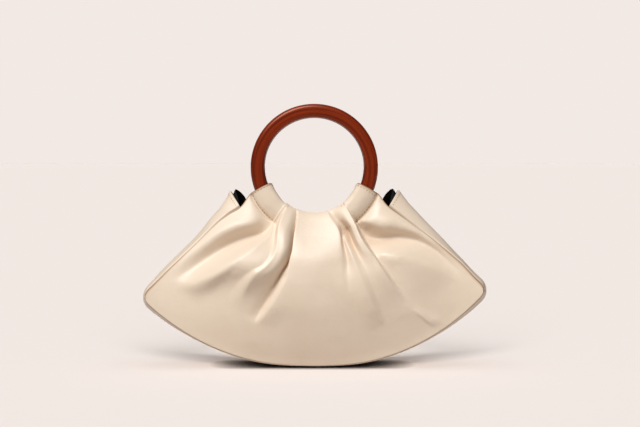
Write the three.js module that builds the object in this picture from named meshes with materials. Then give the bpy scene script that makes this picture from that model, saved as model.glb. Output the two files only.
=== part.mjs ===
// A pleated leather handbag that stands on its curved base: two fan-shaped panels gathered on wooden rings,
// joined by one long gusset, with black lining showing at both ends of the mouth.
// Millimetres, +Z up, the front faces -Y, and the origin is on the floor under the middle of the bag.
import * as THREE from "three";
import { mergeVertices } from "three/addons/utils/BufferGeometryUtils.js";

// Ring handles
const RING_OUTER_R = 61;
const RING_WIDTH = 13;
const RING_DEPTH = 10.5;
const RING_ROUNDING = 3.2;
const RING_CENTRE_Z = 190.5;
const RING_LEAN = THREE.MathUtils.degToRad(5);
const RING_TOP_GAP = 5;
const RING_SEGMENTS = 48;
const ROUNDING_STEPS = 2;
const RING_CENTRE_Y =
  -RING_TOP_GAP / 2 - (RING_DEPTH / 2) * Math.cos(RING_LEAN) - RING_OUTER_R * Math.sin(RING_LEAN);

// Leather and lining
const LEATHER = 2.2;
const LINING = 1;
const SEAM_GAP = 0.4;

// Sleeve round the lower part of each ring: half its arc at the rim inside the ring, and at the hem below it
const RIM_R = 43.5;
const HEM_R = 66;
const RIM_HALF_ARC = THREE.MathUtils.degToRad(70.5);
const HEM_HALF_ARC = THREE.MathUtils.degToRad(68);

// Outline of a panel, seen from the front
const HALF_WIDTH = 159;
const CORNER_R = 11;
const LEFT_CORNER_Z = 67.5;
const RIGHT_CORNER_Z = 74;
const FLOOR_SINK = 1.8;

// Half the depth of the bag along its outline, and how far a panel swells beyond that
const CORNER_DEPTH = 36;
const BASE_DEPTH = 38;
const BELLY = 24;
const BELLY_RISE = 0.75;
const BELLY_FALL = 1.2;
const BELLY_SPREAD = 2.4;

// Gusset between the panels: it starts below the hem and bows outwards
const GUSSET_START = 16;
const GUSSET_PEAK = 4;
const GUSSET_PEAK_LENGTH = 30;
const GUSSET_COLUMNS = [-1, -0.72, -0.4, 0, 0.4, 0.72, 1];
const SIDE_STEPS = 10;
const SIDE_CROWDING = 1.5;
const CORNER_STEPS = 3;
const BASE_STEPS = 14;
const LINING_PROUD = 7;
const LINING_GAP = 1;
const LINING_ROWS = 5;
const LINING_SPAN = 0.9;

// How far the gusset bows outwards of the two seams. down: share of the way from the hem to the corner.
// inwards: share of the way back from the corner to the middle of the base.
const SIDE_BOW = [
  { down: 0.08, left: 19, right: 19 },
  { down: 0.25, left: 7, right: 12.5 },
  { down: 0.5, left: 4.5, right: 7 },
  { down: 0.8, left: 6.5, right: 5 },
  { down: 1, left: 6, right: 6 },
];
const BASE_BOW = [
  { inwards: 0, left: 6, right: 6 },
  { inwards: 0.2, left: 4.5, right: 5.5 },
  { inwards: 0.5, left: 2, right: 3 },
  { inwards: 0.8, left: 0, right: 0 },
  { inwards: 1, left: 0, right: 0 },
];

// The sleeve's outer section from the front hem over the ring to the back hem:
// distance from the ring's centre, distance in front of the ring's middle plane, and share of a pleat's height.
const SLEEVE_SECTION = [
  { r: HEM_R, front: 3.5, pleat: 1 },
  { r: 61, front: 7.4, pleat: 1 },
  { r: 54.5, front: 8.7, pleat: 1 },
  { r: 47.5, front: 7.4, pleat: 1 },
  { r: RIM_R, front: 3, pleat: 0.8 },
  { r: RIM_R, front: -3, pleat: 0.5 },
  { r: 47.5, front: -7.4, pleat: 0.3 },
  { r: 54.5, front: -8.7, pleat: 0.2 },
  { r: 61, front: -7.4, pleat: 0.1 },
  { r: HEM_R + 1, front: -4.5, pleat: 0 },
];

// Fold lines of a panel from its left edge to its right one, each a crest or a valley.
// at: its place across the fan, -1 to 1, at each station from the hem to the base.
// sleeve: its height on the sleeve. rise: its height over the plain surface at each station.
const STATIONS = [0, 0.25, 0.5, 0.75, 1];
const FOLDS = [
  { name: "left edge", at: [-1, -1, -1, -1, -1], sleeve: 0, rise: [0, 0, 0, 0, 0] },
  { name: "upper left ridge", at: [-0.8, -0.87, -0.94, -0.96, -0.97], sleeve: 0, rise: [1, 3, 1, 0, 0] },
  { name: "left valley", at: [-0.62, -0.78, -0.87, -0.92, -0.94], sleeve: 0, rise: [-1, -8, -5, 0, 0] },
  { name: "left broad ridge", at: [-0.52, -0.58, -0.72, -0.82, -0.85], sleeve: 0, rise: [1, 6, 6, 2, 0] },
  { name: "left pleat foot", at: [-0.47, -0.45, -0.52, -0.6, -0.62], sleeve: 0, rise: [1, 4, 2, 0, 0] },
  { name: "left pleat", at: [-0.43, -0.385, -0.43, -0.48, -0.5], sleeve: 4, rise: [10, 8, 2, 0, 0] },
  { name: "deep left valley", at: [-0.31, -0.3, -0.345, -0.37, -0.38], sleeve: 0, rise: [-1, -10, -9, -2, 0] },
  { name: "centre left crest", at: [-0.25, -0.235, -0.275, -0.32, -0.33], sleeve: 4, rise: [10, 8, 6, 3, 0] },
  { name: "centre", at: [0, 0, 0, 0, 0], sleeve: 2, rise: [8, 6, 1, 0, 0] },
  { name: "centre right crest", at: [0.25, 0.26, 0.25, 0.26, 0.26], sleeve: 3, rise: [9, 6, 1, 0, 0] },
  { name: "right valley", at: [0.32, 0.318, 0.305, 0.31, 0.31], sleeve: 0, rise: [-1, -6, -2, 0, 0] },
  { name: "right small crest", at: [0.375, 0.37, 0.362, 0.362, 0.36], sleeve: 1, rise: [3, 3, 4, 1, 0] },
  { name: "right dip", at: [0.425, 0.445, 0.46, 0.46, 0.46], sleeve: 0, rise: [1, -2, -2, 0, 0] },
  { name: "right pleat", at: [0.485, 0.5, 0.525, 0.6, 0.62], sleeve: 5, rise: [11, 9, 4, 2, 0] },
  { name: "right pleat foot", at: [0.54, 0.56, 0.63, 0.68, 0.7], sleeve: 0, rise: [-1, -1, 1, 0, 0] },
  { name: "right broad ridge", at: [0.58, 0.64, 0.8, 0.85, 0.87], sleeve: 0, rise: [-1, 0, 3, 2, 0] },
  { name: "right upper valley", at: [0.66, 0.76, 0.9, 0.94, 0.95], sleeve: 0, rise: [-1, -7, -3, 0, 0] },
  { name: "upper right ridge", at: [0.82, 0.88, 0.955, 0.97, 0.98], sleeve: 0, rise: [1, 3, 1, 0, 0] },
  { name: "right edge", at: [1, 1, 1, 1, 1], sleeve: 0, rise: [0, 0, 0, 0, 0] },
];
const COLUMNS_PER_FOLD = 2;
const FACE_STATIONS = [1, 0.96, 0.88, 0.78, 0.68, 0.58, 0.48, 0.38, 0.29, 0.21, 0.14, 0.08, 0.03];

const { clamp, lerp } = THREE.MathUtils;

// Smooth curve through points with rising x, which never swings past a point: a crest stays the crest.
function throughPoints(xs, ys, x) {
  const last = xs.length - 1;
  const slope = (i) => (ys[i + 1] - ys[i]) / (xs[i + 1] - xs[i]);
  const tangent = (i) => {
    if (i === 0 || i === last) return 0;
    const before = slope(i - 1);
    const after = slope(i);
    return before * after <= 0 ? 0 : (2 * before * after) / (before + after);
  };
  let i = 0;
  while (i < last - 1 && x > xs[i + 1]) i++;
  const width = xs[i + 1] - xs[i];
  const u = clamp((x - xs[i]) / width, 0, 1);
  return (
    ys[i] * (1 + 2 * u) * (1 - u) ** 2 +
    ys[i + 1] * u * u * (3 - 2 * u) +
    width * (tangent(i) * u * (1 - u) ** 2 + tangent(i + 1) * u * u * (u - 1))
  );
}

// The same curve through one column of a table, against another
const column = (table, against, name, x) =>
  throughPoints(
    table.map((row) => row[against]),
    table.map((row) => row[name]),
    x,
  );

// A point of the front sleeve: across the fan, away from the ring's centre, and in front of the ring
function sleevePoint(across, r, front) {
  const halfArc = lerp(RIM_HALF_ARC, HEM_HALF_ARC, (r - RIM_R) / (HEM_R - RIM_R));
  const up = -r * Math.cos(across * halfArc);
  return new THREE.Vector3(
    r * Math.sin(across * halfArc),
    RING_CENTRE_Y + up * Math.sin(RING_LEAN) - front * Math.cos(RING_LEAN),
    RING_CENTRE_Z + up * Math.cos(RING_LEAN) + front * Math.sin(RING_LEAN),
  );
}

const hemPoint = (across) => sleevePoint(across, SLEEVE_SECTION[0].r, SLEEVE_SECTION[0].front);

// Half of the outline, from the hem's end down a straight side, round a corner and along the base to the middle.
// Lengths run along it from the hem's end, and angles are those of its outward normal.
function outlineHalf(name, side, cornerZ) {
  const start = hemPoint(1);
  const cornerX = HALF_WIDTH - CORNER_R;
  const rise = FLOOR_SINK + cornerZ;
  const baseR = (rise ** 2 - CORNER_R ** 2 + cornerX ** 2) / (2 * (rise - CORNER_R));
  const baseSweep = Math.asin(cornerX / (baseR - CORNER_R));
  const toStart = Math.hypot(start.x - cornerX, start.z - cornerZ);
  const sideAngle = Math.atan2(start.z - cornerZ, start.x - cornerX) - Math.acos(CORNER_R / toStart);
  const sideLength = Math.sqrt(toStart ** 2 - CORNER_R ** 2);
  const cornerEnd = sideLength + CORNER_R * (sideAngle + Math.PI / 2 - baseSweep);
  const length = cornerEnd + baseR * baseSweep;

  function at(along) {
    let x, z, angle;
    if (along < sideLength) {
      angle = sideAngle;
      x = cornerX + CORNER_R * Math.cos(angle) - (sideLength - along) * Math.sin(angle);
      z = cornerZ + CORNER_R * Math.sin(angle) + (sideLength - along) * Math.cos(angle);
    } else if (along < cornerEnd) {
      angle = sideAngle - (along - sideLength) / CORNER_R;
      x = cornerX + CORNER_R * Math.cos(angle);
      z = cornerZ + CORNER_R * Math.sin(angle);
    } else {
      const sweep = (length - along) / baseR;
      angle = sweep - Math.PI / 2;
      x = baseR * Math.sin(sweep);
      z = baseR * (1 - Math.cos(sweep)) - FLOOR_SINK;
    }
    return { x: side * x, z: Math.max(z, 0), outX: side * Math.cos(angle), outZ: Math.sin(angle) };
  }
  return { name, side, at, length, sideLength, cornerEnd, cornerMiddle: sideLength + CORNER_R * sideAngle };
}

const LEFT = outlineHalf("left", -1, LEFT_CORNER_Z);
const RIGHT = outlineHalf("right", 1, RIGHT_CORNER_Z);

// Half the bag's depth on the outline: along a side from the hem's end to the corner, and along the base
const sideDepth = (down) => lerp(-hemPoint(1).y, CORNER_DEPTH, down);
const baseDepth = (across) => lerp(BASE_DEPTH, CORNER_DEPTH, Math.abs(across) ** 3);

function basePoint(across) {
  const half = across < 0 ? LEFT : RIGHT;
  return half.at(lerp(half.length, half.cornerMiddle, Math.abs(across)));
}

// A panel's plain surface, without folds: blended between the hem, the base and the two straight sides
function plainPoint(across, down) {
  const hem = hemPoint(across);
  const base = basePoint(across);
  const point = { x: lerp(hem.x, base.x, down), z: lerp(hem.z, base.z, down) };
  for (const half of [LEFT, RIGHT]) {
    const hemEnd = hemPoint(half.side);
    const corner = half.at(half.cornerMiddle);
    const edge = half.at(down * half.cornerMiddle);
    const share = (1 + half.side * across) / 2;
    point.x += share * (edge.x - lerp(hemEnd.x, corner.x, down));
    point.z += share * (edge.z - lerp(hemEnd.z, corner.z, down));
  }
  const highest = BELLY_RISE / (BELLY_RISE + BELLY_FALL);
  const swell = (s) => s ** BELLY_RISE * (1 - s) ** BELLY_FALL;
  const belly = (BELLY * swell(down) * (1 - Math.abs(across) ** BELLY_SPREAD)) / swell(highest);
  return new THREE.Vector3(point.x, -lerp(-hem.y, baseDepth(across), down) - belly, point.z);
}

// The folds at one height of the panel: where each line is, and how high it stands
const linesAt = (down) => FOLDS.map((fold) => throughPoints(STATIONS, fold.at, down));
const risesAt = (down) => FOLDS.map((fold) => throughPoints(STATIONS, fold.rise, down));

// Columns of a panel follow its fold lines, with one or more between each two.
function columnsAcross(lines) {
  const columns = [];
  for (let i = 0; i < lines.length - 1; i++)
    for (let k = 0; k < COLUMNS_PER_FOLD; k++) columns.push(lerp(lines[i], lines[i + 1], k / COLUMNS_PER_FOLD));
  return [...columns, lines[lines.length - 1]];
}

function faceRow(down) {
  const lines = linesAt(down);
  const rises = risesAt(down);
  return columnsAcross(lines).map((across) => {
    const point = plainPoint(across, down);
    point.y -= throughPoints(lines, rises, across);
    return point;
  });
}

// The way out of the sleeve's section at one of its points, in its own two directions. Pleats stand straight
// forward at the hem, where the face goes on from them.
function sectionOut(index) {
  if (index === 0) return new THREE.Vector2(0, 1);
  const before = SLEEVE_SECTION[index - 1];
  const after = SLEEVE_SECTION[Math.min(index + 1, SLEEVE_SECTION.length - 1)];
  return new THREE.Vector2(after.front - before.front, before.r - after.r).normalize();
}

function sleeveRow({ r, front, pleat }, index) {
  const lines = linesAt(0);
  const rises = index === 0 ? risesAt(0) : FOLDS.map((fold) => fold.sleeve * pleat);
  const out = sectionOut(index);
  return columnsAcross(lines).map((across) => {
    const rise = throughPoints(lines, rises, across);
    return sleevePoint(across, r + out.x * rise, front + out.y * rise);
  });
}

// A closed wall between two depths below a surface given as rows of points, with its faces pointing out of it.
// It stops at the floor, and stays as thick there.
function wall(rows, from, to) {
  const high = rows.length - 1;
  const wide = rows[0].length - 1;
  const span = (a, b) => new THREE.Vector3().subVectors(b, a);
  const normal = (i, j) => {
    const along = span(rows[Math.max(i - 1, 0)][j], rows[Math.min(i + 1, high)][j]);
    const across = span(rows[i][Math.max(j - 1, 0)], rows[i][Math.min(j + 1, wide)]);
    return across.cross(along).normalize();
  };
  const positions = [];
  for (const depth of [from, to])
    for (let i = 0; i <= high; i++)
      for (let j = 0; j <= wide; j++) {
        const p = rows[i][j].clone().addScaledVector(normal(i, j), -depth);
        positions.push(p.x, p.y, Math.max(p.z, depth === from ? 0 : to - from));
      }
  const outer = (i, j) => i * (wide + 1) + j;
  const inner = (i, j) => outer(i, j) + (high + 1) * (wide + 1);
  const faces = [];
  const quad = (a, b, c, d) => faces.push(a, b, c, a, c, d);
  for (let i = 0; i < high; i++) {
    for (let j = 0; j < wide; j++) {
      quad(outer(i, j), outer(i, j + 1), outer(i + 1, j + 1), outer(i + 1, j));
      quad(inner(i, j), inner(i + 1, j), inner(i + 1, j + 1), inner(i, j + 1));
    }
    quad(outer(i, 0), outer(i + 1, 0), inner(i + 1, 0), inner(i, 0));
    quad(outer(i + 1, wide), outer(i, wide), inner(i, wide), inner(i + 1, wide));
  }
  for (let j = 0; j < wide; j++) {
    quad(outer(0, j + 1), outer(0, j), inner(0, j), inner(0, j + 1));
    quad(outer(high, j), outer(high, j + 1), inner(high, j + 1), inner(high, j));
  }
  const geometry = new THREE.BufferGeometry();
  geometry.setAttribute("position", new THREE.Float32BufferAttribute(positions, 3));
  geometry.setIndex(faces);
  geometry.computeVertexNormals();
  return geometry;
}

function panelGeometry() {
  return wall([...FACE_STATIONS.map(faceRow), ...SLEEVE_SECTION.map(sleeveRow)], 0, LEATHER);
}

// Stations along one half of the gusset, from its top end to the middle of the base: closer near the flared end
function gussetStations(half) {
  const stretch = (from, to, count, crowding = 1) =>
    Array.from({ length: count }, (_, k) => lerp(from, to, (k / count) ** crowding));
  return [
    ...stretch(GUSSET_START, half.sideLength, SIDE_STEPS, SIDE_CROWDING),
    ...stretch(half.sideLength, half.cornerMiddle, CORNER_STEPS),
    ...stretch(half.cornerMiddle, half.cornerEnd, CORNER_STEPS),
    ...stretch(half.cornerEnd, half.length, BASE_STEPS),
  ];
}

// A point of the gusset's outer face: along one half, and across it from the front seam, -1, to the back one, 1
function gussetPoint(half, along, across, peakHeight = GUSSET_PEAK) {
  const down = along / half.cornerMiddle;
  const inwards = (along - half.cornerMiddle) / (half.length - half.cornerMiddle);
  const depth = down < 1 ? sideDepth(down) : baseDepth(1 - inwards);
  const sideBow = column(SIDE_BOW, "down", half.name, down);
  const bow = down < 1 ? sideBow : column(BASE_BOW, "inwards", half.name, inwards);
  const hump = 1 - across ** 2;
  const peak = peakHeight * hump * clamp(1 - (along - GUSSET_START) / GUSSET_PEAK_LENGTH, 0, 1);
  const { x, z, outX, outZ } = half.at(along - peak);
  const y = across * (depth - LEATHER - SEAM_GAP);
  return new THREE.Vector3(x + outX * bow * hump, y, Math.max(z + outZ * bow * hump, 0));
}

function gussetGeometry() {
  const row = (half) => (along) => GUSSET_COLUMNS.map((across) => gussetPoint(half, along, across));
  const left = gussetStations(LEFT).map(row(LEFT));
  const right = gussetStations(RIGHT).map(row(RIGHT)).reverse();
  return wall([...left, row(LEFT)(LEFT.length), ...right], 0, LEATHER);
}

// The black lining inside one end of the gusset, a little proud of its rim
function liningGeometry(half) {
  const stations = [GUSSET_START - LINING_PROUD, ...gussetStations(half).slice(0, LINING_ROWS)];
  const rows = stations.map((along, i) =>
    GUSSET_COLUMNS.map((across) => gussetPoint(half, along, across * LINING_SPAN, i === 0 ? 0 : GUSSET_PEAK)),
  );
  const from = LEATHER + LINING_GAP;
  return wall(half.side > 0 ? rows.reverse() : rows, from, from + LINING);
}

// Rounded rectangle turned about the ring's axis, its profile closed on itself
function ringGeometry() {
  const middle = RING_OUTER_R - RING_WIDTH / 2;
  const corners = [
    [1, -1, -90],
    [1, 1, 0],
    [-1, 1, 90],
    [-1, -1, 180],
  ];
  const profile = [];
  for (const [sideR, sideY, from] of corners)
    for (let k = 0; k <= ROUNDING_STEPS; k++) {
      const angle = THREE.MathUtils.degToRad(from + (90 * k) / ROUNDING_STEPS);
      profile.push(
        new THREE.Vector2(
          middle + sideR * (RING_WIDTH / 2 - RING_ROUNDING) + RING_ROUNDING * Math.cos(angle),
          sideY * (RING_DEPTH / 2 - RING_ROUNDING) + RING_ROUNDING * Math.sin(angle),
        ),
      );
    }
  profile.push(profile[0].clone());
  const geometry = new THREE.LatheGeometry(profile, RING_SEGMENTS);
  geometry.deleteAttribute("normal");
  geometry.deleteAttribute("uv");
  const closed = mergeVertices(geometry, 1e-3);
  closed.computeVertexNormals();
  return closed;
}

const leather = new THREE.MeshStandardMaterial({ color: "#e3d3bd", roughness: 0.42, side: THREE.DoubleSide });
const lacqueredWood = new THREE.MeshStandardMaterial({ color: "#7a2a12", roughness: 0.25 });
const blackLining = new THREE.MeshStandardMaterial({ color: "#131314", roughness: 0.9 });

function piece(name, geometry, material) {
  const mesh = new THREE.Mesh(geometry, material);
  mesh.name = name;
  return mesh;
}

// One panel with its ring. The back is the front's mirror image.
function side(name) {
  const group = new THREE.Group();
  const ring = piece(`${name}_ring`, ringGeometry(), lacqueredWood);
  ring.position.set(0, RING_CENTRE_Y, RING_CENTRE_Z);
  ring.rotation.x = -RING_LEAN;
  group.add(piece(`${name}_panel`, panelGeometry(), leather), ring);
  return group;
}

const front = side("front");
const back = side("back");
back.scale.y = -1;

const handbag = new THREE.Group();
handbag.name = "pleated_handbag";
handbag.add(
  front,
  back,
  piece("gusset", gussetGeometry(), leather),
  piece("left_lining", liningGeometry(LEFT), blackLining),
  piece("right_lining", liningGeometry(RIGHT), blackLining),
);

export default handbag;
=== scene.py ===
import math

import bmesh
import bpy
import numpy as np
from mathutils import Matrix, Vector


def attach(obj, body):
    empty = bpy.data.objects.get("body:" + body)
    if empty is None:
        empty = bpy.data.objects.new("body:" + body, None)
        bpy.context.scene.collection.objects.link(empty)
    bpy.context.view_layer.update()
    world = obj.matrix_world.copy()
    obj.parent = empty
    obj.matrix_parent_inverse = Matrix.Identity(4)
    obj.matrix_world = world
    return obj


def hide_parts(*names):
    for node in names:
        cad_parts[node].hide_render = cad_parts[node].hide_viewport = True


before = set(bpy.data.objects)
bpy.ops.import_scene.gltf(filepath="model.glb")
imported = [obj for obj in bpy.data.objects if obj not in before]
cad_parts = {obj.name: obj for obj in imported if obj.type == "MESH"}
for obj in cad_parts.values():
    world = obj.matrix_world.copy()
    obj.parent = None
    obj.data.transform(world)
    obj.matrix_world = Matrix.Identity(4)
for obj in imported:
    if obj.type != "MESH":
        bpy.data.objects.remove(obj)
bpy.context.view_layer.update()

# Lengths are in millimetres, as in the part's source, until a mesh gets its vertices.
MM = 0.001
TINY = 1e-9

# Ring handles
RING_OUTER_R = 61
RING_WIDTH = 13
RING_DEPTH = 10.5
RING_OUTER_ROUNDING = 4.2
RING_INNER_ROUNDING = 2.6
RING_CENTRE_Z = 190.5
RING_LEAN = math.radians(5)
RING_TOP_GAP = 5
RING_STEPS = 144
RING_ROUNDING_STEPS = 6
DOUBLES_WITHIN = 0.001
GRAIN_DRIFT = 2.5
RING_CENTRE_Y = (
    -RING_TOP_GAP / 2 - RING_DEPTH / 2 * math.cos(RING_LEAN) - RING_OUTER_R * math.sin(RING_LEAN)
)

# Walls of leather and lining, and the room that a panel and its seam take beside the gusset
LEATHER = 1.7
LINING = 0.8
PANEL_LEATHER = 2.2
SEAM_GAP = 0.4

# The leather is pared thin in the tight pleats: the share that is left of it, and from where to where the
# paring sets in, towards the middle of the fan, up the face and down the sleeve
PARED_SHARE = 0.3
PARED_ACROSS = (0.66, 0.6)
PARED_FACE = (0.6, 0.5)
PARED_SLEEVE = (-0.12, -0.09)

# Painted shade: the leather's colour is darkened in a fold, from one depth to another, and more in a seam:
# along its outermost lines of points, and from one distance to another towards a panel's side
FOLD_SHADE_DEPTHS = (5, 19)
PAINTED_SEAM_SHADE = 2
PAINTED_SEAM_LINES = [0, 1, -1, -2]
SEAM_SHADE = (3.5, 2.1)

# Sleeve round the lower part of each ring. RIM_PLACE is the place of its rim in SLEEVE_SECTION, BEHIND_RIM
# how much farther a pleat runs. The back sleeve settles lower over some rows, counted from the hem.
RIM_R = 43.5
HEM_R = 66
RIM_HALF_ARC = math.radians(70.5)
HEM_HALF_ARC = math.radians(68)
SLEEVE_STEPS = 3
SLOPE_STEP = 0.2
RIM_PLACE = 4.5
BEHIND_RIM = 2
BACK_SETTLE = 1.3
SETTLE_ROWS = (-8, 12)

# Outline of a panel, seen from the front
HALF_WIDTH = 160.5
CORNER_R = 11
LEFT_CORNER_Z = 67.5
RIGHT_CORNER_Z = 74
FLOOR_SINK = 1.8
BASE_ROUNDING = 6
FLOOR_TOUCH = 2.2

# Half the depth of the bag along its outline, and how far a panel swells beyond that
CORNER_DEPTH = 36
BASE_DEPTH = 38
BELLY = 24
BELLY_RISE = 0.75
BELLY_FALL = 1.2
BELLY_SPREAD = 2.4

# Gusset between the panels. Its edges are tucked behind them, and the tuck widens between two heights.
GUSSET_START = 16
GUSSET_PEAK = 4
GUSSET_PEAK_LENGTH = 30
GUSSET_TURN = 0.8
TUCK_DEPTH = 1.5
TUCK_WIDTH = (1.6, 3.4)
TUCK_WIDENS = (90, 130)

# Steps along half of the gusset, closer together near its top; about half its width, which spaces its outer
# columns of points; and the first and last place and the number of its inner ones
SIDE_STEPS = 34
SIDE_CROWDING = 1.25
CORNER_STEPS = 14
BASE_STEPS = 34
GUSSET_HALF = 32
INNER_COLUMNS = (0.84, 0, 8)

# Lining at both ends of the mouth
LINING_PROUD = 7
LINING_GAP = 1
LINING_SPAN = 0.9
LINING_REACH = 62
LINING_CORNER = 3
LINING_LEAN = 8
LINING_COLUMNS = 21
LINING_ROWS = 26

# Stitches: pitch, half the length, width and height of one, its sides and rings of points, how far to each
# side its direction is read, how deep it is sunk, and the rows and columns that are sewn
STITCH_PITCH = 3.2
STITCH_HALF = (1.15, 0.34, 0.3)
STITCH_SIDES = 6
STITCH_RINGS = 4
STITCH_REACH = 0.4
STITCH_SUNK = 0.1
HEM_STITCH_ROW = 3
END_STITCH_COLUMN = 3
RIM_STITCH_ROW = 4
TACK_ACROSS = (0.48, 0.54)
TACK_ROW = 12

# How far a side seam swings outwards of a straight line: share of the way down it, left and right
SIDE_SWING = [
    (0, 0, 0),
    (0.12, -2.5, -2.5),
    (0.22, 0.3, -1.6),
    (0.34, 1.8, -0.3),
    (0.56, 1.2, 2),
    (0.78, 1, 2.4),
    (1, 0, 0),
]

# How far the gusset bows outwards of the two seams: share of the way, left and right
SIDE_BOW = [
    (0.08, 20, 20),
    (0.25, 10, 14.5),
    (0.5, 5.8, 8.5),
    (0.8, 5.5, 4.8),
    (1, 4.5, 5.5),
]
BASE_BOW = [
    (0, 4.5, 5.5),
    (0.15, 3.4, 4),
    (0.4, 1.4, 1.6),
    (0.7, 0.6, 0.6),
    (1, 0, 0),
]

# The sleeve's outer section from the front hem over the ring to the back hem:
# distance from the ring's centre, distance in front of its middle plane. From one row to the next is
# SLEEVE_STEP of the way down the face.
SLEEVE_SECTION = [
    (HEM_R, 3.2),
    (61, 6.6),
    (54.5, 8.6),
    (47.5, 8),
    (RIM_R, 3),
    (RIM_R, -3),
    (47.5, -7.4),
    (54.5, -8.7),
    (61, -7.4),
    (HEM_R + 1, -4.5),
]
SLEEVE_STEP = -0.034

# A pleat that runs over the hem without a crease: drop below the hem, and how far it stands forward of it.
# Down the face it fades between two places.
OVER_HEM = [
    (-23, -4),
    (-22.5, -2.5),
    (-18.5, 2.6),
    (-11.5, 8),
    (-5, 12.8),
    (0, 16.3),
    (5, 19.8),
    (13, 25.2),
    (18, 28.1),
    (23, 30.2),
    (29, 31.6),
    (36, 32.3),
    (46, 32.7),
    (60, 32.6),
    (80, 31.7),
    (100, 30),
    (125, 26.5),
]
OVER_HEM_FADE = (0.7, 0.35)

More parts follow.
